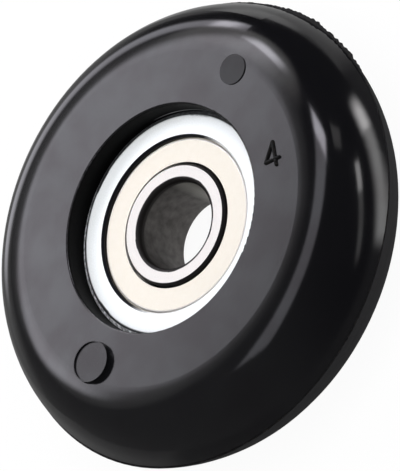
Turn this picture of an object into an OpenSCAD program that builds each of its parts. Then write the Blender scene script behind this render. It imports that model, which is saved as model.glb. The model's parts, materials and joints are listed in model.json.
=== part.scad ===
/* [Wheel] */
// Width of the moulded wheel from face to face
wheel_w = 16; // [13:0.1:19]
// Diameter of the front half at its parting edge
tread_d = 63.8; // [60:0.1:90]
// Step outward from the front half to the rear half at the parting edge
rear_step = 0.16; // [0.05:0.01:0.4]
// How far the parting edge lies behind the wheel's middle
parting_back = 0.3; // [0:0.05:1.5]
// How far the front half's edge stands out past a plain half round
front_peak = 0.72; // [0.3:0.02:1.2]
// How far the rear half's edge stands out past a plain half round
rear_peak = 0.48; // [0.3:0.02:1.2]
// Radius of the front half's crowned tread
front_crown_r = 12; // [11:0.5:18]
// Radius of the rear half's crowned tread
rear_crown_r = 16; // [12:0.5:20]
// Lap of the moulded lips over the rounded corners of the bearing
lip = 0.3; // [0.1:0.05:0.8]
// Round at the mouth of each recess
mouth_round = 0.3; // [0.1:0.05:0.8]

/* [Mould marks on the front face] */
// Diameter of the raised ejector pad
pad_d = 5.44; // [3:0.02:6]
// Height of the raised ejector pad
pad_h = 0.56; // [0.3:0.02:0.62]
// Height of the thin collar that stands round the pad
collar_h = 0.8; // [0.65:0.05:1.5]
// Thickness of the collar at its root
collar_root = 0.2; // [0.15:0.05:0.5]
// Thickness of the collar at its top
collar_top = 0.12; // [0.06:0.02:0.14]
// Angle of the raised pad round the wheel
pad_angle = 178; // [90:1:270]
// Distance of the raised pad outward of the flat face's middle
pad_out = 1.46; // [-0.5:0.02:2]
// Diameter of the low pin mark
mark_d = 4.2; // [2:0.1:5]
// Height of the low pin mark
mark_h = 0.15; // [0.05:0.01:0.5]
// Angle of the low pin mark round the wheel
mark_angle = -4; // [-80:1:80]
// Distance of the low pin mark outward of the flat face's middle
mark_out = 2.3; // [-0.5:0.1:2.5]

/* [Bearing rings] */
// Bore for the axle
bore_d = 12; // [10:0.1:13.2]
// Outside diameter of the bearing
bearing_d = 32; // [29:0.1:36]
// Width of the bearing
bearing_w = 10; // [9.8:0.1:12.5]
// Round at each end of the bore
bore_round = 0.65; // [0.2:0.05:1]
// Round at the corners of the outer ring
ring_round = 1.2; // [0.9:0.05:1.5]
// Diameter of the inner ring's shoulders
shoulder_d = 16.8; // [16.2:0.02:17]
// Bevel at the shoulders' outer corners
shoulder_bevel = 0.32; // [0.1:0.02:0.4]
// Diameter of the outer ring's lands beside its raceway
land_d = 23.8; // [23.4:0.05:24.2]
// Diameter of the outer ring's open mouth at each side
mouth_d = 24.24; // [24.2:0.02:25]
// Bevel at the edge of each mouth
mouth_bevel = 0.3; // [0.05:0.05:0.4]

/* [Balls and raceways] */
// Diameter of the circle through the ball centres
pitch_d = 20.2; // [19.8:0.05:20.5]
// Diameter of a ball
ball_d = 5.5; // [4.6:0.05:5.7]
// Number of balls
ball_n = 7; // [5:1:7]
// Play between a ball and the bottom of each raceway
race_play = 0.03; // [0.02:0.005:0.06]
// Raceway radius as a multiple of the ball's diameter
conformity = 0.52; // [0.51:0.005:0.55]

/* [Cage] */
// Thickness of the cage's sheet metal
cage_t = 0.4; // [0.25:0.05:0.5]
// Gap between the cage's ribbon and the inner ring's shoulders
cage_in_gap = 0.4; // [0.2:0.05:0.8]
// Gap between the cage's ribbon and the outer ring's lands
cage_out_gap = 0.5; // [0.2:0.05:0.8]
// Play between a ball and its pocket
pocket_play = 0.08; // [0.05:0.01:0.15]
// Diameter of a rivet's shank
rivet_d = 0.7; // [0.4:0.05:0.9]
// Diameter of a rivet's head
rivet_head_d = 1.3; // [1:0.05:1.6]
// Height of a rivet's head
rivet_head_h = 0.3; // [0.15:0.05:0.5]

/* [Shields] */
// Thickness of a shield's sheet metal
shield_t = 0.35; // [0.2:0.05:0.4]
// Depth of a shield's raised middle below the ring's face
shield_deep = 0.44; // [0.35:0.01:0.6]
// Step down from a shield's middle to its sunk rim
rim_step = 0.5; // [0.4:0.02:0.6]
// Gap between a shield's step and the outer ring's mouth
rim_gap = 0.15; // [0.1:0.01:0.3]
// Gap between a shield's inner edge and the inner ring
shield_gap = 0.3; // [0.15:0.01:0.4]
// Radius of the curl that holds a shield in the outer ring's groove
curl_r = 0.25; // [0.2:0.01:0.3]
// Play round the curl in its groove
curl_play = 0.03; // [0.02:0.01:0.05]

/* [Hidden] */
$fn = 128;

half_w = wheel_w / 2;
front_edge = [tread_d / 2, -parting_back];
rear_edge = front_edge + [rear_step, 0];
// Middles of the shoulder rounds, which are also the outer ends of the flat faces
front_hub = [front_edge[0] - front_peak - half_w, 0];
rear_hub = [rear_edge[0] - rear_peak - half_w, 0];
recess_r = bearing_d / 2 - lip;
flat_mid = (recess_r + mouth_round + front_hub[0]) / 2;
pad_r = flat_mid + pad_out;
mark_r = flat_mid + mark_out;

half_b = bearing_w / 2;
ball_r = ball_d / 2;
pitch_r = pitch_d / 2;
race_r = conformity * ball_d;
pocket_r = ball_r + pocket_play;
// The cage's ribbon lies in the channel between the inner ring's shoulders and the outer ring's lands
cage_in = shoulder_d / 2 + cage_in_gap;
cage_out = land_d / 2 - cage_out_gap;
cage_w = cage_out - cage_in;
shield_z = half_b - shield_deep - shield_t;
rim_z = shield_z - rim_step;
curl = [mouth_d / 2 + curl_r / 2, rim_z + curl_r];
ball_step = 360 / ball_n;
rivet_fn = 48;
// Overrun of a cutting shape past the surface that it cuts
over = 1;

function dir(a) = [cos(a), sin(a)];

// Middle of the crown arc, which passes through the parting edge and runs smoothly into the
// shoulder's round. side is 1 for the front half and -1 for the rear half.
function crown_middle(hub, edge, crown_r, side) =
    let (
        lead = crown_r - half_w,
        reach = norm(edge - hub),
        open = acos((lead * lead + reach * reach - crown_r * crown_r) / (2 * lead * reach)),
        toward = atan2(edge[1] - hub[1], edge[0] - hub[0])
    )
    hub + lead * dir(toward - side * open);

// Slice of a disc between two angles
module slice(middle, r, from, to) {
    far = 2 * r;
    intersection() {
        translate(middle) circle(r);
        polygon([middle, middle + far * dir(from), middle + far * dir(to)]);
    }
}

// Section of one half of the wheel, out to its shoulder's round and its crowned tread
module half_section(hub, edge, crown_r, side) {
    middle = crown_middle(hub, edge, crown_r, side);
    blend = atan2(hub[1] - middle[1], hub[0] - middle[0]);
    blend_point = hub + half_w * dir(blend);
    polygon([
        [0, -parting_back],
        [0, side * half_w],
        [hub[0], side * half_w],
        blend_point,
        edge,
        [hub[0], -parting_back]
    ]);
    slice(hub, half_w, blend, side * 90);
    slice(middle, crown_r, atan2(edge[1] - middle[1], edge[0] - middle[0]), blend);
}

// Section of the bearing's outer envelope with its rounded corners
module bearing_envelope() {
    corner = [bearing_d / 2 - ring_round, half_b - ring_round];
    translate([0, -half_b]) square([corner[0], bearing_w]);
    translate([0, -corner[1]]) square([bearing_d / 2, 2 * corner[1]]);
    for (side = [-1, 1]) {
        translate([corner[0], side * corner[1]]) circle(ring_round);
    }
}

// Section of what the mould's cores leave open: each recess with its rounded mouth
module recess_section() {
    mouth = recess_r + mouth_round;
    translate([0, -half_w - over]) square([recess_r, wheel_w + 2 * over]);
    for (side = [-1, 1]) {
        difference() {
            translate([0, side * (half_w + over / 2 - mouth_round / 2)])
                square([2 * mouth, over + mouth_round], center = true);
            translate([mouth, side * (half_w - mouth_round)]) circle(mouth_round);
        }
    }
}

// Raised pad with the thin collar of moulding flash that stands round it
module ejector_pad() {
    cylinder(h = over + pad_h, d = pad_d);
    rotate_extrude() polygon([
        [pad_d / 2 - collar_top, over / 2],
        [pad_d / 2 + collar_root, over / 2],
        [pad_d / 2 + collar_root, over],
        [pad_d / 2 + collar_top, over + collar_h],
        [pad_d / 2, over + collar_h],
        [pad_d / 2, over + pad_h / 2],
        [pad_d / 2 - collar_top, over + pad_h / 2]
    ]);
}

module wheel_body() {
    color("#1b1b1d") {
        rotate_extrude() {
            difference() {
                union() {
                    half_section(front_hub, front_edge, front_crown_r, 1);
                    half_section(rear_hub, rear_edge, rear_crown_r, -1);
                }
                bearing_envelope();
                recess_section();
            }
        }
        rotate(mark_angle) translate([mark_r, 0, half_w - over])
            cylinder(h = over + mark_h, d = mark_d);
        rotate(pad_angle) translate([pad_r, 0, half_w - over]) ejector_pad();
    }
}

module outer_ring() {
    color("#dfe6ea") {
        rotate_extrude() {
            difference() {
                bearing_envelope();
                translate([0, -half_b - over]) square([land_d / 2, bearing_w + 2 * over]);
                translate([pitch_r + ball_r + race_play - race_r, 0]) circle(race_r);
                for (side = [-1, 1]) {
                    mirror([0, side < 0 ? 1 : 0]) {
                        translate([0, rim_z]) square([mouth_d / 2, half_b - rim_z + over]);
                        translate(curl) circle(curl_r + curl_play);
                        polygon([
                            [mouth_d / 2 - mouth_bevel, half_b + mouth_bevel],
                            [mouth_d / 2 - mouth_bevel, half_b - 2 * mouth_bevel],
                            [mouth_d / 2 + 2 * mouth_bevel, half_b + mouth_bevel]
                        ]);
                    }
                }
            }
        }
    }
}

module inner_ring() {
    corner = [bore_d / 2 + bore_round, half_b - bore_round];
    shoulder = shoulder_d / 2;
    color("#d9cfd0") {
        rotate_extrude() {
            difference() {
                union() {
                    translate([bore_d / 2, -corner[1]]) square([shoulder - bore_d / 2, 2 * corner[1]]);
                    translate([corner[0], -half_b]) square([shoulder - corner[0], bearing_w]);
                    for (side = [-1, 1]) {
                        translate([corner[0], side * corner[1]]) circle(bore_round);
                    }
                }
                translate([pitch_r - ball_r - race_play + race_r, 0]) circle(race_r);
                for (side = [-1, 1]) {
                    mirror([0, side < 0 ? 1 : 0]) {
                        polygon([
                            [shoulder + shoulder_bevel, half_b + shoulder_bevel],
                            [shoulder + shoulder_bevel, half_b - 2 * shoulder_bevel],
                            [shoulder - 2 * shoulder_bevel, half_b + shoulder_bevel]
                        ]);
                    }
                }
            }
        }
    }
}

// A pressed washer with a raised middle and a sunk rim, curled at its outer edge into the ring's groove
module shield() {
    inner = shoulder_d / 2 + shield_gap;
    step = [mouth_d / 2 - rim_gap - shield_t, shield_z];
    color("#e8dcc8") {
        rotate_extrude() {
            translate([inner, shield_z]) square([step[0] - inner, shield_t]);
            slice(step, shield_t, 0, 90);
            translate([step[0], rim_z]) square([shield_t, rim_step]);
            difference() {
                union() {
                    translate([step[0], rim_z]) square([curl[0] - step[0], shield_t]);
                    translate(curl) circle(curl_r);
                }
                translate(curl - [curl_r, 0]) square([curl_r, curl_r + over]);
            }
        }
    }
}

module shield_front() {
    shield();
}

module shield_rear() {
    mirror([0, 0, 1]) shield();
}

module at_balls(r = pitch_r) {
    for (i = [0 : ball_n - 1]) {
        rotate(i * ball_step) translate([r, 0, 0]) children();
    }
}

// Midway between the pockets, on the middle of the ribbon
module at_rivets() {
    rotate(ball_step / 2) at_balls(cage_in + cage_w / 2) children();
}

// Half of the ribbon cage: a flat ring with a domed pocket over each ball
module cage_half() {
    color("#b9a27a") {
        difference() {
            intersection() {
                rotate_extrude() translate([cage_in, 0]) square([cage_w, pocket_r + cage_t + over]);
                union() {
                    cylinder(h = cage_t, r = cage_out + over);
                    at_balls() sphere(r = pocket_r + cage_t);
                }
            }
            at_balls() sphere(r = pocket_r);
            at_rivets() translate([0, 0, -over])
                cylinder(h = cage_t + 2 * over, d = rivet_d, $fn = rivet_fn);
        }
    }
}

module cage_front() {
    cage_half();
}

module cage_rear() {
    mirror([0, 0, 1]) cage_half();
}

// Rivets through the flat webs between the pockets, with a domed head at each end
module cage_rivets() {
    head_r = rivet_head_d / 2;
    dome_r = (head_r * head_r + rivet_head_h * rivet_head_h) / (2 * rivet_head_h);
    color("#9a8f7c") {
        at_rivets() rotate_extrude($fn = rivet_fn) {
            translate([0, -cage_t]) square([rivet_d / 2, 2 * cage_t]);
            for (side = [-1, 1]) {
                mirror([0, side < 0 ? 1 : 0]) translate([0, cage_t]) intersection() {
                    translate([0, rivet_head_h - dome_r]) circle(dome_r);
                    square([head_r, rivet_head_h]);
                }
            }
        }
    }
}

module ball(i) {
    color("#eef2f4") rotate((i - 1) * ball_step) translate([pitch_r, 0, 0]) sphere(r = ball_r);
}

wheel_body();
outer_ring();
inner_ring();
shield_front();
shield_rear();
cage_front();
cage_rear();
cage_rivets();
for (i = [1 : ball_n]) {
    ball(i);
}
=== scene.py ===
import json
import math

import bmesh
import bpy
from mathutils import Matrix, Vector, noise


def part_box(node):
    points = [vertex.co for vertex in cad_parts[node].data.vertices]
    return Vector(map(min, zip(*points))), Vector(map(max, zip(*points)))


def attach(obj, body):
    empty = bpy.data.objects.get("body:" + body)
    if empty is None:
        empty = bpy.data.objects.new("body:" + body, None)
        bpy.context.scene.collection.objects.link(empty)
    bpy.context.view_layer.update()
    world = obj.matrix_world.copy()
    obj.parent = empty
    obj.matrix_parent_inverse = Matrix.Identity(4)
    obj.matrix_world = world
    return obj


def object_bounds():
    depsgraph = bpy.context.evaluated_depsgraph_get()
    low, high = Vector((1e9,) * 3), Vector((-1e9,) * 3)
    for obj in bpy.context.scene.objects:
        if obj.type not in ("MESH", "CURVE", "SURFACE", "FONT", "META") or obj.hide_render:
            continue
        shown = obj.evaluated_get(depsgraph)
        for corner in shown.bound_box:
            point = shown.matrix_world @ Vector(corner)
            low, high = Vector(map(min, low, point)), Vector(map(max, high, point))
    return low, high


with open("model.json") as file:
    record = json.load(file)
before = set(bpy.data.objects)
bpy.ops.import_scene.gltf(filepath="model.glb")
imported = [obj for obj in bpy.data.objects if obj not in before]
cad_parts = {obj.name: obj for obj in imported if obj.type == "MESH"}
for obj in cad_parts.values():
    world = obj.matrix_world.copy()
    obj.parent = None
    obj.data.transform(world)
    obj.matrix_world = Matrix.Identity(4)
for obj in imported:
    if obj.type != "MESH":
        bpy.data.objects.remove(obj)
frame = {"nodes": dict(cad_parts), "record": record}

MM = 0.001
cad_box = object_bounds()
nodes = frame["nodes"]

# Places on the wheel in mm, from the frame where it gives them: the wheel's flat face, the bearing's face,
# outside and bore, the inner ring's shoulder, the recess, whose lip laps the bearing, the outer ring's mouth
# and the parting of the mould
mounts = {mount["name"]: mount for mount in frame["record"]["mounts"]}
FACE_Z = -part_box("wheel_body")[0].z / MM
BEARING_FACE_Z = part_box("outer_ring")[1].z / MM
BEARING_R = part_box("outer_ring")[1].x / MM
BORE_R = mounts["bore"]["dims"]["r_mm"]
SHOULDER_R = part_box("inner_ring")[1].x / MM
LIP = 0.3
RECESS_R = BEARING_R - LIP
MOUTH_R = 12.12
PARTING_Z = -0.3

# Settings that many nodes share: a smooth run from one value to another, and a mix of two colours
SMOOTH = {"interpolation_type": "SMOOTHSTEP"}
COLOURS = {"out": 2, "data_type": "RGBA"}


def linear(code, opacity=1.0):
    """The linear colour of an sRGB hex code."""
    shares = [int(code[i : i + 2], 16) / 255 for i in (1, 3, 5)]
    return (*[s / 12.92 if s <= 0.04045 else ((s + 0.055) / 1.055) ** 2.4 for s in shares], opacity)


def put(tree, kind, *plugs, into=None, out=0, **settings):
    """Adds a node and gives its output called out. plugs fills its inputs in their order, and into fills
    others by name or number, each with a value or another node's output. settings are the node's own."""
    made = tree.nodes.new("ShaderNode" + kind)
    for key, value in settings.items():
        setattr(made, key, value)
    for key, value in (*enumerate(plugs), *(into or {}).items()):
        if isinstance(value, bpy.types.NodeSocket):
            tree.links.new(value, made.inputs[key])
        else:
            made.inputs[key].default_value = value
    return made.outputs[out] if made.outputs else made


# Camera: the photograph's angle, a long lens from the wheel's near side, turned so that +X points up
CAMERA_PLACE = Vector((0, -1.5866, 1.7246))
CAMERA_RIGHT = Vector((0.39306, -0.67681, -0.62245))
CAMERA_DOWN = Vector((-0.91951, -0.28933, -0.26605))
CAMERA_AHEAD = Vector((-0.00003, 0.67692, -0.73605))
FOCAL_PIXELS = 17688
PICTURE_LONG_SIDE = 471
OFF_MIDDLE_PIXELS = 0.3
SENSOR_WIDTH = 36

camera = bpy.data.objects.new("camera", bpy.data.cameras.new("camera"))
bpy.context.scene.collection.objects.link(camera)
turned = Matrix((CAMERA_RIGHT, -CAMERA_DOWN, -CAMERA_AHEAD)).transposed()
camera.matrix_world = Matrix.Translation(CAMERA_PLACE) @ turned.to_4x4()
camera.data.sensor_width = SENSOR_WIDTH
camera.data.lens = FOCAL_PIXELS / PICTURE_LONG_SIDE * SENSOR_WIDTH
camera.data.shift_x = -OFF_MIDDLE_PIXELS / PICTURE_LONG_SIDE
camera.data.shift_y = OFF_MIDDLE_PIXELS / PICTURE_LONG_SIDE
camera.data.clip_start = 0.1
camera.data.clip_end = 20
bpy.context.scene.camera = camera
bpy.context.scene.view_settings.view_transform = "Standard"


# Studio: soft boxes round the wheel, placed by the direction in which the wheel sees them. Three give a
# slightly cool light. HEAD_EDGE is half the width, in degrees, over which a box's brighter head ends
COOL = "#f6f5ff"
HEAD_EDGE = 1.5


def toward(azimuth, elevation):
    """Unit vector to a direction in degrees: azimuth from +X to +Y, elevation above the wheel's face."""
    a, e = math.radians(azimuth), math.radians(elevation)
    return Vector((math.cos(e) * math.cos(a), math.cos(e) * math.sin(a), math.sin(e)))


def soft_box(name, start, middle, end, wide, glow, head=(0, 0), soft=2, fade=(1, 3), far=2.0,
             tint="#ffffff"):
    """A bowed strip of light from start to end by way of middle, each (azimuth, elevation). wide is how wide
    it is at the start and at the end, and glow how bright, where 1 is white. head is the extra brightness
    and the length of a brighter part at the start. soft and fade are the softness of its sides and of its
    two ends. Widths, lengths and softness are in degrees, and far, its distance, in metres."""
    start, middle, end = toward(*start), toward(*middle), toward(*end)
    out = (start + end).normalized()
    across = (end - start).normalized()
    up = out.cross(across)
    degree = far * math.radians(1)
    half_long = far * end.dot(across) / end.dot(out)
    at = middle * (far / middle.dot(out))
    bow = at.dot(up) / (1 - (at.dot(across) / half_long) ** 2)
    half_wide = [w / 2 * degree for w in wide]
    rim = soft * degree
    box = bpy.data.lights.new(name, "AREA")
    box.shape = "RECTANGLE"
    box.size = 2 * (half_long + rim)
    box.size_y = 2 * (max(half_wide) + rim) + abs(bow)
    box.energy = math.pi * box.size * box.size_y
    box.color = linear(tint)[:3]
    box.use_nodes = True
    tree = box.node_tree
    spot = put(tree, "SeparateXYZ", put(tree, "NewGeometry", out="Parametric")).node.outputs
    reach = box.size / 2 / half_long
    along = put(tree, "MapRange", spot["X"], 0, 1, -reach, reach)
    height = put(tree, "MapRange", spot["Y"], 0, 1, (bow - box.size_y) / 2, (bow + box.size_y) / 2)
    bent = put(tree, "Math", along, along, operation="MULTIPLY")
    bent = put(tree, "MapRange", bent, 0, 1, bow, 0, clamp=False)
    off = put(tree, "Math", height, bent, operation="SUBTRACT")
    off = put(tree, "Math", off, operation="ABSOLUTE")
    side = put(tree, "MapRange", along, -1, 1, *half_wide)
    off = put(tree, "Math", off, side, operation="SUBTRACT")
    inside = put(tree, "MapRange", off, -rim, rim, 1, 0, **SMOOTH)
    share = degree / half_long
    level = put(tree, "MapRange", along, -1, 1, *glow)
    extra, head_long = head
    head_edges = [(head_long + edge) * share - 1 for edge in (-HEAD_EDGE, HEAD_EDGE)]
    hot = put(tree, "MapRange", along, *head_edges, extra, 0, **SMOOTH)
    level = put(tree, "Math", level, hot, operation="ADD")
    for sign, length in zip((-1, 1), fade):
        edges = (sign * (1 - length * share), sign * (1 + rim / half_long))
        ending = put(tree, "MapRange", along, *edges, 1, 0, **SMOOTH)
        level = put(tree, "Math", level, ending, operation="MULTIPLY")
    level = put(tree, "Math", level, inside, operation="MULTIPLY")
    glowing = next(n for n in tree.nodes if n.type == "EMISSION")
    tree.links.new(level, glowing.inputs["Strength"])
    made = bpy.data.objects.new(name, box)
    bpy.context.scene.collection.objects.link(made)
    middle_of_box = out * far + up * (bow / 2)
    made.matrix_world = Matrix.Translation(middle_of_box) @ Matrix((across, up, out)).transposed().to_4x4()
    made.visible_camera = False


soft_box("long_box", (35.9, 33.6), (77.6, 42.8), (121, 33.6), (14.4, 19.4), (2.85, 4.3), head=(5.6, 10.5),
         soft=5.4, fade=(4, 10), far=0.28, tint=COOL)
soft_box("top_box", (7.8, 50.4), (-90, 86.5), (198.4, 64.7), (16.5, 20), (2.1, 1.2), head=(6.4, 10.5),
         soft=2.8, fade=(2, 4), tint=COOL)
soft_box("side_card", (-11.4, 39.5), (-15.2, 34.6), (-18.3, 29.4), (8.5, 8.5), (0.85, 0.85),
         soft=0.6, fade=(0.6, 0.6))
soft_box("rear_box", (47, 13.8), (76.5, 7.3), (103, -9.5), (12.5, 16), (2.2, 1.6), head=(5.2, 9),
         soft=4, fade=(2.8, 8), tint=COOL)
soft_box("near_box", (-32.5, 13.5), (-54.1, 9.8), (-77, 3.5), (6, 5), (1.0, 0.9), head=(3.8, 13.5),
         soft=1.2, fade=(1.5, 8))
soft_box("low_box", (-7.5, -4.4), (-34, -13), (-63.2, -20.5), (13.5, 15), (3.1, 3.2), head=(5.2, 13),
         soft=6, fade=(5, 6))

# World: white behind everything, a soft overhead fill on the object, and in its reflections a dark room that
# is a little lighter below and on the side away from the soft boxes
FILL_LEAN = (0, -0.4, 0.917)
FILL_EDGE = (0.4, 0.85)
FILL_AT_HORIZON, FILL_OVERHEAD = 0.15, 1.38
ROOM_ASIDE = (-0.9, 0.35, 0)
ROOM_ASIDE_EDGE = (-0.5, 0.8)
ROOM_DARK, ROOM_LIGHTER = 0.01, 0.17
ROOM_BELOW_EDGE = (-0.1, -0.3)
ROOM_BELOW = 0.12
# Soft spill of the boxes on the room: behind the rear box's far end, at the long box's head, at its tail,
# and all round it. Each has its (azimuth, elevation), the two angles from there between which it comes up,
# and its brightness
ROOM_GLOWS = (((97, -8.6), (32.9, 0), 0.38), ((52, 36), (22, 13.6), 1.1), ((110, 42), (25, 5.1), 0.5),
              ((92, 40), (36, 0), 0.42))
world = bpy.data.worlds.new("studio_room")
bpy.context.scene.world = world
world.use_nodes = True
tree = world.node_tree
tree.nodes.clear()
ray = put(tree, "LightPath").node.outputs
way = put(tree, "TexCoord", out="Generated")
leaning = put(tree, "VectorMath", way, FILL_LEAN, out="Value", operation="DOT_PRODUCT")
overhead = put(tree, "MapRange", leaning, *FILL_EDGE, FILL_AT_HORIZON, FILL_OVERHEAD, **SMOOTH)
aside = put(tree, "VectorMath", way, ROOM_ASIDE, out="Value", operation="DOT_PRODUCT")
room = put(tree, "MapRange", aside, *ROOM_ASIDE_EDGE, ROOM_DARK, ROOM_LIGHTER, **SMOOTH)
height = put(tree, "SeparateXYZ", way, out="Z")
room = put(tree, "MapRange", height, *ROOM_BELOW_EDGE, room, ROOM_BELOW, **SMOOTH)
for spot, edge, brightness in ROOM_GLOWS:
    close = put(tree, "VectorMath", way, toward(*spot), out="Value", operation="DOT_PRODUCT")
    edge = [math.cos(math.radians(angle)) for angle in edge]
    spill = put(tree, "MapRange", close, *edge, 0, brightness, **SMOOTH)
    room = put(tree, "Math", room, spill, operation="MAXIMUM")
fill = put(tree, "MapRange", ray["Is Glossy Ray"], 0, 1, overhead, room)
level = put(tree, "MapRange", ray["Is Camera Ray"], 0, 1, fill, 1)
put(tree, "OutputWorld", put(tree, "Background", linear("#ffffff"), level))

# Floor: plain white, under the wheel's rear face. In the wheel's reflections the paper close behind it
# is a painted glow: painted light on the right, as far as a slanting edge, and painted shade on the left,
# with a painted contact shadow where the wheel stands on it. It is as bright as PAPER_IN_BORE within the
# bore, and brighter by PAPER_PATCH in one painted pool of light. Reaches are in mm, and FLOOR_HALF in
# metres
FLOOR_HALF = 1.5
FLOOR_OWN_WHITE = 0.95
PAPER_LIT, PAPER_BEYOND = 0.42, 0.25
PAPER_EDGE_TOWARD, PAPER_EDGE = (0.6, 0.8, 0), (45, 49)
PAPER_CONTACT, PAPER_CONTACT_SHADE = (32, 35), 0.1
PAPER_SHADED, PAPER_SHADED_REACH = (0.08, 0.24), (32, 46)
PAPER_LEFT_TO_RIGHT = (-10, 6)
PAPER_BEHIND = (-12, -2)
PAPER_REACH = (72, 90)
PAPER_IN_BORE, PAPER_IN_BORE_REACH = 0.9, (5.5, 7)
PAPER_PATCH, PAPER_PATCH_AT, PAPER_PATCH_REACH = 0.5, (58, 30, 0), (8, 20)
floor_z = cad_box[0].z
mesh = bpy.data.meshes.new("floor")
corners = [(x * FLOOR_HALF, y * FLOOR_HALF, floor_z) for x, y in ((-1, -1), (1, -1), (1, 1), (-1, 1))]
mesh.from_pydata(corners, [], [(0, 1, 2, 3)])
floor = bpy.data.objects.new("floor", mesh)
bpy.context.scene.collection.objects.link(floor)
floor.visible_shadow = False
paper = bpy.data.materials.new("white_paper_floor")
paper.use_nodes = True
tree = paper.node_tree
tree.nodes.clear()
ray = put(tree, "LightPath").node.outputs
lit = put(tree, "BsdfDiffuse", linear("#e8e8e8"))
bright = put(tree, "Emission", linear("#ffffff"), 1)
own_white = put(tree, "Math", ray["Is Camera Ray"], FLOOR_OWN_WHITE, operation="MULTIPLY")
seen = put(tree, "MixShader", own_white, lit, bright)
spot = put(tree, "TexCoord", out="Object")
spot = put(tree, "VectorMath", spot, into={"Scale": 1 / MM}, operation="SCALE")
spot = put(tree, "VectorMath", spot, (1, 1, 0), operation="MULTIPLY")
parts = put(tree, "SeparateXYZ", spot).node.outputs
away = put(tree, "VectorMath", spot, out="Value", operation="LENGTH")
slant = put(tree, "VectorMath", spot, PAPER_EDGE_TOWARD, out="Value", operation="DOT_PRODUCT")
right = put(tree, "MapRange", slant, *PAPER_EDGE, PAPER_LIT, PAPER_BEYOND, **SMOOTH)
patch = put(tree, "VectorMath", spot, PAPER_PATCH_AT, out="Value", operation="DISTANCE")
patch = put(tree, "MapRange", patch, *PAPER_PATCH_REACH, PAPER_PATCH, 0, **SMOOTH)
right = put(tree, "Math", right, patch, operation="ADD")
contact = put(tree, "MapRange", away, *PAPER_CONTACT, PAPER_CONTACT_SHADE, 1, **SMOOTH)
right = put(tree, "Math", right, contact, operation="MULTIPLY")
left = put(tree, "MapRange", away, *PAPER_SHADED_REACH, *PAPER_SHADED, **SMOOTH)
shade = put(tree, "MapRange", parts["X"], *PAPER_LEFT_TO_RIGHT, left, right, **SMOOTH)
shade = put(tree, "MapRange", away, *PAPER_IN_BORE_REACH, PAPER_IN_BORE, shade, **SMOOTH)
behind = put(tree, "MapRange", parts["Y"], *PAPER_BEHIND, 0, 1, **SMOOTH)
in_reach = put(tree, "MapRange", away, *PAPER_REACH, 1, 0, **SMOOTH)
behind = put(tree, "Math", behind, in_reach, operation="MULTIPLY")
# Painted light and shade of the paper, seen only in the wheel's reflections
near = put(tree, "Emission", linear("#ffffff"), shade)
mirrored = put(tree, "MixShader", behind, put(tree, "BsdfTransparent"), near)
put(tree, "OutputMaterial", put(tree, "MixShader", ray["Is Glossy Ray"], seen, mirrored))
mesh.materials.append(paper)


# Materials. The widths of their patterns are in mm. The eroded grain, the torn grain, the grinding marks
# and the specks of the steel are really a few hundredths of a millimetre wide, and are drawn coarser so that
# they show. ROUND says how many marks fit round a ring
ERODED_GRAIN = 0.4
TORN_GRAIN = 0.333
GRINDING_MARK, GRINDING_MARKS_ROUND = 0.12, 60
TOOL_MARK, TOOL_MARKS_ROUND = 0.35, 24
STEEL_SPECK = 0.2
GLOSS_CLOUD = 5.56
COOLING_MOTTLE = 7.69
HONING_PATCH = 1.11
GLINT_BREAKUP = 0.588
TIN_CLOUD = 0.833
TUMBLED_CLOUD = 0.667
GREASE_FILM = 1.11

# Painted light and shade that shows on one side of the wheel only: a painted glint line on the recess
# wall, a painted highlight that carries the rings' white further into their corners, a painted reflection
# on the mouths' bevels, painted glints on the outer ring's corner and a painted sheen in the bore. For
# each: between which places it comes up, in mm toward +X or +Y, and how strong it is. The glint line's
# two edges are heights over the bearing's face, from none to full
GLINT_LINE_X, GLINT_LINE_STRENGTH = (11.5, 13.5), 0.6
GLINT_LINE_LOW_EDGE, GLINT_LINE_HIGH_EDGE = (0.08, 0.13), (0.3, 0.25)
PAINTED_WHITE_CORNER_X, WHITE_FROM_FACING = (11, 7), (0.955, 0.985)
BEVEL_DARK_ARC_Y = (-2, 1.5)
GLINT_X, GLINT_ELSEWHERE = (2, -6), 0.15
BORE_SHEEN_X = (4.3, 5.4)


def finish_of(name, **plain):
    """A new material with one surface shader, and its inputs. plain gives the inputs that are the same all
    over, with _ for a space."""
    material = bpy.data.materials.new(name)
    material.use_nodes = True
    tree = material.node_tree
    tree.nodes.clear()
    plain = {key.replace("_", " "): value for key, value in plain.items()}
    surface = put(tree, "BsdfPrincipled", into=plain)
    put(tree, "OutputMaterial", surface)
    return material, tree, surface.node.inputs


def place_on(tree):
    """Outputs for a point of the surface in mm: the point, its distance from the axis, its height, the point
    at the same angle on a circle of radius 1, and how far the surface there faces along the axis."""
    place = put(tree, "TexCoord").node.outputs
    point = put(tree, "VectorMath", place["Object"], into={"Scale": 1 / MM}, operation="SCALE")
    height = put(tree, "SeparateXYZ", point, out="Z")
    flat = put(tree, "VectorMath", point, (1, 1, 0), operation="MULTIPLY")
    radius = put(tree, "VectorMath", flat, out="Value", operation="LENGTH")
    ring = put(tree, "VectorMath", flat, operation="NORMALIZE")
    facing = put(tree, "SeparateXYZ", place["Normal"], out="Z")
    facing = put(tree, "Math", facing, operation="ABSOLUTE")
    return point, radius, height, ring, facing


def turned_marks(tree, ring, radius, height, count, width):
    """Noise in rings round the axis, as a tool or a mould leaves them: count is how many marks fit round a
    ring, and width is their width in mm."""
    along = put(tree, "VectorMath", ring, into={"Scale": count / math.tau}, operation="SCALE")
    rings = put(tree, "Math", radius, height, operation="ADD")
    steps = put(tree, "Math", rings, 1 / width, operation="MULTIPLY")
    lift = put(tree, "CombineXYZ", into={"Z": steps})
    where = put(tree, "VectorMath", along, lift, operation="ADD")
    return put(tree, "TexNoise", where, into={"Scale": 1, "Detail": 2, "Roughness": 0.6})


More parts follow.
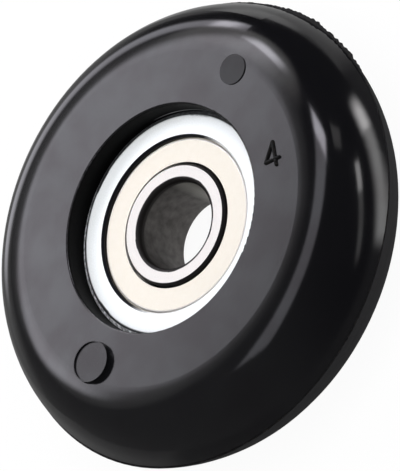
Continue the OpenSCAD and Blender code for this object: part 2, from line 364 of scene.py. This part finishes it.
def moulded_black_nylon():
    """Injection-moulded black nylon 6: deep black, polished on the rounded front, finely eroded to satin on
    the flat faces, faintly mottled where it cooled unevenly, duller on the pin marks, the recess walls and
    the rear half, which shows rings of tool marks. The recess walls are also painted near black with
    weakened reflections, a painted shade. A thin pale line low on the recess wall, on one side, is a
    painted glint."""
    material, tree, surface = finish_of("moulded_black_nylon", IOR=1.5)
    point, radius, height, ring, _ = place_on(tree)
    face = put(tree, "MapRange", height, FACE_Z - 0.45, FACE_Z - 0.05, **SMOOTH)
    rear = put(tree, "MapRange", height, PARTING_Z + 0.02, PARTING_Z - 0.02)
    mark = put(tree, "MapRange", height, FACE_Z + 0.04, FACE_Z + 0.06)
    pad = put(tree, "MapRange", height, FACE_Z + 0.2, FACE_Z + 0.25)
    recess = put(tree, "MapRange", radius, RECESS_R + 0.1, RECESS_R + 0.02)
    grain = put(tree, "TexNoise", point, into={"Scale": 1 / ERODED_GRAIN, "Detail": 4, "Roughness": 0.6})
    cloud = put(tree, "TexNoise", point, into={"Scale": 1 / GLOSS_CLOUD, "Detail": 2})
    streaks = turned_marks(tree, ring, radius, height, TOOL_MARKS_ROUND, TOOL_MARK)
    upward = put(tree, "SeparateXYZ", point, out="X")
    # Painted glint: a thin pale line low on the recess wall, toward +X
    line = put(tree, "MapRange", upward, *GLINT_LINE_X, 0, GLINT_LINE_STRENGTH)
    for outside, inside in (GLINT_LINE_LOW_EDGE, GLINT_LINE_HIGH_EDGE):
        within = put(tree, "MapRange", height, BEARING_FACE_Z + outside, BEARING_FACE_Z + inside)
        line = put(tree, "Math", line, within, operation="MULTIPLY")
    line = put(tree, "Math", line, recess, operation="MULTIPLY")
    colour = linear("#0c0c0e")
    # The recess is painted near black, a painted shade
    for share, coat in ((recess, "#020202"), (rear, "#1e1e20"), (line, "#c4c6c8")):
        colour = put(tree, "Mix", into={0: share, 6: colour, 7: linear(coat)}, **COLOURS)
    tree.links.new(colour, surface["Base Color"])
    mottle = put(tree, "TexNoise", point, into={"Scale": 1 / COOLING_MOTTLE, "Detail": 5, "Roughness": 0.55})
    mottle = put(tree, "MapRange", mottle, 0.4, 0.62)
    gleam = linear("#ffffff")
    # and its reflections are weakened, a painted shade
    for share, coat in ((mottle, "#ece7e8"), (recess, "#585858")):
        gleam = put(tree, "Mix", into={0: share, 6: gleam, 7: linear(coat)}, **COLOURS)
    tree.links.new(gleam, surface["Specular Tint"])
    rough = put(tree, "MapRange", cloud, 0, 1, 0.07, 0.14)
    for share, source, low, high in ((face, cloud, 0.13, 0.22), (mark, grain, 0.44, 0.54),
                                     (pad, grain, 0.24, 0.34), (recess, grain, 0.7, 0.85),
                                     (rear, streaks, 0.42, 0.62)):
        there = put(tree, "MapRange", source, 0, 1, low, high)
        rough = put(tree, "Mix", into={"Factor": share, "A": rough, "B": there})
    tree.links.new(rough, surface["Roughness"])
    fine = put(tree, "Math", grain, face, operation="MULTIPLY")
    dull = put(tree, "Math", streaks, rear, operation="MULTIPLY")
    relief = put(tree, "Math", fine, dull, operation="ADD")
    bump = put(tree, "Bump", into={"Height": relief, "Strength": 0.08, "Distance": 0.05 * MM})
    tree.links.new(bump, surface["Normal"])
    return material


def torn_black_nylon():
    """The same nylon where it tore at the mould's joint or filled a hand-cut figure: rough, so a dull black
    with paler specks."""
    material, tree, surface = finish_of("torn_black_nylon", IOR=1.36)
    point, *_ = place_on(tree)
    grain = put(tree, "TexNoise", point, into={"Scale": 1 / TORN_GRAIN, "Detail": 4, "Roughness": 0.7})
    pale = put(tree, "MapRange", grain, 0.52, 0.68)
    colour = put(tree, "Mix", into={0: pale, 6: linear("#020202"), 7: linear("#2a2520")}, **COLOURS)
    tree.links.new(colour, surface["Base Color"])
    tree.links.new(put(tree, "MapRange", grain, 0, 1, 0.55, 0.85), surface["Roughness"])
    return material


def ground_ring_steel():
    """Hardened bearing steel: faces a satin white from the grinder with a trace of the grinding marks, and
    corners left a turned grey. Over this goes painted light and shade: on the +X side the white reaches
    further into the corners, a painted highlight; a broken line of painted glints runs round the outer
    ring's outer corner, mostly on the -X side; the walls near the faces, the bore's mouths and the inner
    ring's corners are painted near black, a painted shade; the mouths' bevels are painted white on the
    near arc and a bluish black on the far arc, a painted reflection; and deeper in, the walls and the bore
    are honed, a mottled grey painted lighter on the +X side, a painted sheen."""
    material, tree, surface = finish_of("ground_ring_steel")
    point, radius, height, ring, facing = place_on(tree)
    spot = put(tree, "SeparateXYZ", point).node.outputs
    marks = turned_marks(tree, ring, radius, height, GRINDING_MARKS_ROUND, GRINDING_MARK)
    speck = put(tree, "TexNoise", point, into={"Scale": 1 / STEEL_SPECK, "Detail": 3, "Roughness": 0.7})
    patch = put(tree, "TexNoise", point, into={"Scale": 1 / HONING_PATCH, "Detail": 3})
    glint_breaks = put(tree, "TexNoise", point, into={"Scale": 1 / GLINT_BREAKUP, "Detail": 4, "Roughness": 0.65})
    inner = put(tree, "MapRange", radius, SHOULDER_R + 1.2, SHOULDER_R + 1)
    throat = put(tree, "MapRange", radius, BORE_R + 1.1, BORE_R + 1)
    bore = put(tree, "MapRange", height, BEARING_FACE_Z - 0.9, BEARING_FACE_Z - 1.3, **SMOOTH)
    corner = put(tree, "MapRange", height, 0.3 - BEARING_FACE_Z, 0.5 - BEARING_FACE_Z)
    bore = put(tree, "Math", bore, corner, operation="MULTIPLY")
    wall = put(tree, "MapRange", facing, 0.5, 0.2)
    wall = put(tree, "Math", wall, throat, operation="MAXIMUM")
    # Painted highlight: on the +X side the white reaches further into the corners
    painted_white_from = put(tree, "MapRange", spot["X"], *PAINTED_WHITE_CORNER_X, *WHITE_FROM_FACING)
    ground_and_painted_white = put(tree, "MapRange", facing, painted_white_from, 0.999, **SMOOTH)
    lip = put(tree, "MapRange", radius, MOUTH_R + 0.48, MOUTH_R + 0.38)
    # Painted reflection on the mouths' bevels: white on the near arc, a bluish black on the far arc
    far_arc = put(tree, "MapRange", spot["Y"], *BEVEL_DARK_ARC_Y)
    # Painted glints: a broken bright line round the outer ring's outer corner, mostly on the -X side
    painted_glints = put(tree, "MapRange", radius, BEARING_R - 0.8, BEARING_R - 0.72)
    for share in (put(tree, "MapRange", glint_breaks, 0.46, 0.54, 0.35, 1),
                  put(tree, "MapRange", spot["X"], *GLINT_X, GLINT_ELSEWHERE, 1)):
        painted_glints = put(tree, "Math", painted_glints, share, operation="MULTIPLY")
    white = put(tree, "Mix", into={0: inner, 6: linear("#f8fcfc"), 7: linear("#e0dcd8")}, **COLOURS)
    pale = put(tree, "MapRange", speck, 0.3, 0.7, 0.9, 1)
    white = put(tree, "VectorMath", white, into={"Scale": pale}, operation="SCALE")
    bevel_reflection = put(tree, "Mix", into={0: far_arc, 6: linear("#f0f2f2"), 7: linear("#0a0c14")}, **COLOURS)
    patch = put(tree, "MapRange", patch, 0.3, 0.7)
    # Painted sheen: the honed bore is painted lighter toward +X
    painted_sheen = put(tree, "MapRange", spot["X"], *BORE_SHEEN_X)
    honed = linear("#484543")
    for share, coat in ((patch, "#64615f"), (painted_sheen, "#a8a6a0")):
        honed = put(tree, "Mix", into={0: share, 6: honed, 7: linear(coat)}, **COLOURS)
    # Painted shade: the walls near the faces and the bore's mouths are painted near black
    dark = put(tree, "Mix", into={0: bore, 6: linear("#1e1b1a"), 7: honed}, **COLOURS)
    colour = linear("#343638")
    # The inner ring's corners are painted near black, a painted shade
    for share, coat in ((painted_glints, linear("#f4f6f8")), (lip, bevel_reflection), (inner, linear("#1c1a1a")),
                        (wall, dark), (ground_and_painted_white, white)):
        colour = put(tree, "Mix", into={0: share, 6: colour, 7: coat}, **COLOURS)
    tree.links.new(colour, surface["Base Color"])
    metal = put(tree, "MapRange", ground_and_painted_white, 0, 1, 0.6, 0.13)
    metal = put(tree, "MapRange", painted_glints, 0, 1, metal, 0.1)
    tree.links.new(metal, surface["Metallic"])
    tree.links.new(put(tree, "MapRange", marks, 0, 1, 0.42, 0.56), surface["Roughness"])
    bump = put(tree, "Bump", into={"Height": marks, "Strength": 0.05, "Distance": 0.02 * MM})
    tree.links.new(bump, surface["Normal"])
    return material


def pressed_shield_sheet():
    """Thin steel sheet with a dull tin coat, pressed flat: a warm matt cream with faint marks of the press,
    and bright metal where the rim is bent down."""
    material, tree, surface = finish_of("pressed_shield_sheet")
    point, *_, facing = place_on(tree)
    cloud = put(tree, "TexNoise", point, into={"Scale": 1 / TIN_CLOUD, "Detail": 5, "Roughness": 0.6})
    bend = put(tree, "MapRange", facing, 0.98, 0.9)
    colour = linear("#e0d9ca")
    for share, coat in ((cloud, "#e8e3d8"), (bend, "#fbf8f4")):
        colour = put(tree, "Mix", into={0: share, 6: colour, 7: linear(coat)}, **COLOURS)
    tree.links.new(colour, surface["Base Color"])
    tree.links.new(put(tree, "MapRange", bend, 0, 1, 0.2, 0.55), surface["Metallic"])
    tree.links.new(put(tree, "MapRange", cloud, 0, 1, 0.5, 0.6), surface["Roughness"])
    return material


def pressed_cage_sheet():
    """Mild steel strip, pressed and tumbled: a plain grey that the balls have begun to polish."""
    material, tree, surface = finish_of("pressed_cage_sheet", Metallic=1.0)
    point, *_ = place_on(tree)
    cloud = put(tree, "TexNoise", point, into={"Scale": 1 / TUMBLED_CLOUD, "Detail": 4})
    colour = put(tree, "Mix", into={0: cloud, 6: linear("#a8a49c"), 7: linear("#c2beb6")}, **COLOURS)
    tree.links.new(colour, surface["Base Color"])
    tree.links.new(put(tree, "MapRange", cloud, 0, 1, 0.3, 0.45), surface["Roughness"])
    return material


def polished_ball_steel():
    """Chrome steel balls, lapped to a mirror, with a trace of grease that clouds them."""
    material, tree, surface = finish_of("polished_ball_steel", Metallic=1.0)
    point, *_ = place_on(tree)
    film = put(tree, "TexNoise", point, into={"Scale": 1 / GREASE_FILM, "Detail": 3})
    colour = put(tree, "Mix", into={0: film, 6: linear("#d8dadd"), 7: linear("#eceef0")}, **COLOURS)
    tree.links.new(colour, surface["Base Color"])
    tree.links.new(put(tree, "MapRange", film, 0, 1, 0.04, 0.12), surface["Roughness"])
    return material


nylon = moulded_black_nylon()
torn_nylon = torn_black_nylon()
ring_steel = ground_ring_steel()
shield_sheet = pressed_shield_sheet()
cage_sheet = pressed_cage_sheet()
ball_steel = polished_ball_steel()
finish_of_node = {"wheel_body": nylon, "outer_ring": ring_steel, "inner_ring": ring_steel,
                  "shield_front": shield_sheet, "shield_rear": shield_sheet,
                  "cage_front": cage_sheet, "cage_rear": cage_sheet, "cage_rivets": cage_sheet}
for name, node in nodes.items():
    for place in range(len(node.data.materials)):
        node.data.materials[place] = finish_of_node.get(name, ball_steel)


def as_piece(name, shape):
    """A mesh object in the wheel's torn nylon that rides on the wheel. shape is in mm."""
    bmesh.ops.scale(shape, verts=shape.verts, vec=(MM, MM, MM))
    mesh = bpy.data.meshes.new(name)
    shape.to_mesh(mesh)
    shape.free()
    mesh.materials.append(torn_nylon)
    piece = bpy.data.objects.new(name, mesh)
    bpy.context.scene.collection.objects.link(piece)
    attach(piece, "wheel")


# Cavity numeral: a plain raised figure, cut into the mould by hand, made of beads that are then skinned over
STROKE_HALF = 0.255
NUMERAL_RISE = 0.34
NUMERAL_STROKES = (((15.07, -13.19), (12.48, -15.42)), ((15.07, -13.19), (12.1, -13.6)),
                   ((12.1, -13.6), (13.57, -15.36)))
BEADS_APART = 0.15 * STROKE_HALF
SKIN_FINENESS = 0.035
SKIN_SMOOTHING = {"factor": 0.5, "use_axis_x": True, "use_axis_y": True, "use_axis_z": True}


def cavity_numeral():
    shape = bmesh.new()
    bead = Matrix.Diagonal((STROKE_HALF, STROKE_HALF, NUMERAL_RISE, 1))
    for start, end in NUMERAL_STROKES:
        start, end = Vector((*start, FACE_Z)), Vector((*end, FACE_Z))
        count = math.ceil((end - start).length / BEADS_APART)
        for i in range(count + 1):
            place = Matrix.Translation(start.lerp(end, i / count))
            bmesh.ops.create_icosphere(shape, subdivisions=2, radius=1, matrix=place @ bead)
    rough = bpy.data.meshes.new("numeral_beads")
    shape.to_mesh(rough)
    shape.free()
    beads = bpy.data.objects.new("numeral_beads", rough)
    bpy.context.scene.collection.objects.link(beads)
    skin = beads.modifiers.new("skin", "REMESH")
    skin.mode = "VOXEL"
    skin.voxel_size = SKIN_FINENESS
    made = bpy.data.meshes.new_from_object(beads.evaluated_get(bpy.context.evaluated_depsgraph_get()))
    bpy.data.objects.remove(beads)
    shape = bmesh.new()
    shape.from_mesh(made)
    bmesh.ops.smooth_vert(shape, verts=shape.verts, **SKIN_SMOOTHING)
    for face in shape.faces:
        face.smooth = True
    as_piece("cavity_numeral", shape)


# Parting flash: the thin torn fin that the mould's joint leaves round the wheel, worst beside the low pin
# mark. It rises in swells of 8 mm, lumps of 1.8 mm and tears of 0.7 mm: CELLS is how many of them go into
# the wheel's radius, START keeps their noises apart, and what each adds is in mm
FLASH_SEAT = 31.85
FLASH_HALF = 0.07
FLASH_STEPS = 1440
FLASH_WORST_AT, FLASH_WORST_SPREAD = -11, 19
FLASH_WORST_THICKER = 0.9
SWELL_CELLS, LUMP_CELLS, TEAR_CELLS = 4, 18, 48
LUMP_START, TEAR_START = Vector((0, 0, 7)), Vector((0, 0, 3))
RISE, RISE_SWELL, RISE_TEAR = 0.16, 0.08, 0.1
WORST_RISE, WORST_LUMP, WORST_TEAR = 0.28, 0.24, 0.2
LEAST_RISE = 0.05


def parting_flash():
    shape = bmesh.new()
    rings = []
    for i in range(FLASH_STEPS):
        turn = 2 * math.pi * i / FLASH_STEPS
        spot = Vector((math.cos(turn), math.sin(turn), 0))
        swell = noise.noise(spot * SWELL_CELLS)
        lump = noise.noise(spot * LUMP_CELLS + LUMP_START)
        tear = noise.noise(spot * TEAR_CELLS + TEAR_START)
        away = (math.degrees(turn) - FLASH_WORST_AT + 180) % 360 - 180
        worst = math.exp(-((away / FLASH_WORST_SPREAD) ** 4))
        rise = RISE + RISE_SWELL * swell + RISE_TEAR * tear
        rise += worst * (WORST_RISE + WORST_LUMP * lump + WORST_TEAR * tear)
        edge = FLASH_SEAT + max(LEAST_RISE, rise)
        half = FLASH_HALF * (1 + FLASH_WORST_THICKER * worst)
        section = ((FLASH_SEAT, -half), (edge, -half / 2), (edge, half / 2), (FLASH_SEAT, half))
        rings.append([shape.verts.new(spot * r + Vector((0, 0, PARTING_Z + z))) for r, z in section])
    for here, there in zip(rings, rings[1:] + rings[:1]):
        for k in range(4):
            shape.faces.new((here[k], there[k], there[(k + 1) % 4], here[(k + 1) % 4]))
    bmesh.ops.recalc_face_normals(shape, faces=shape.faces)
    as_piece("parting_flash", shape)


cavity_numeral()
parting_flash()
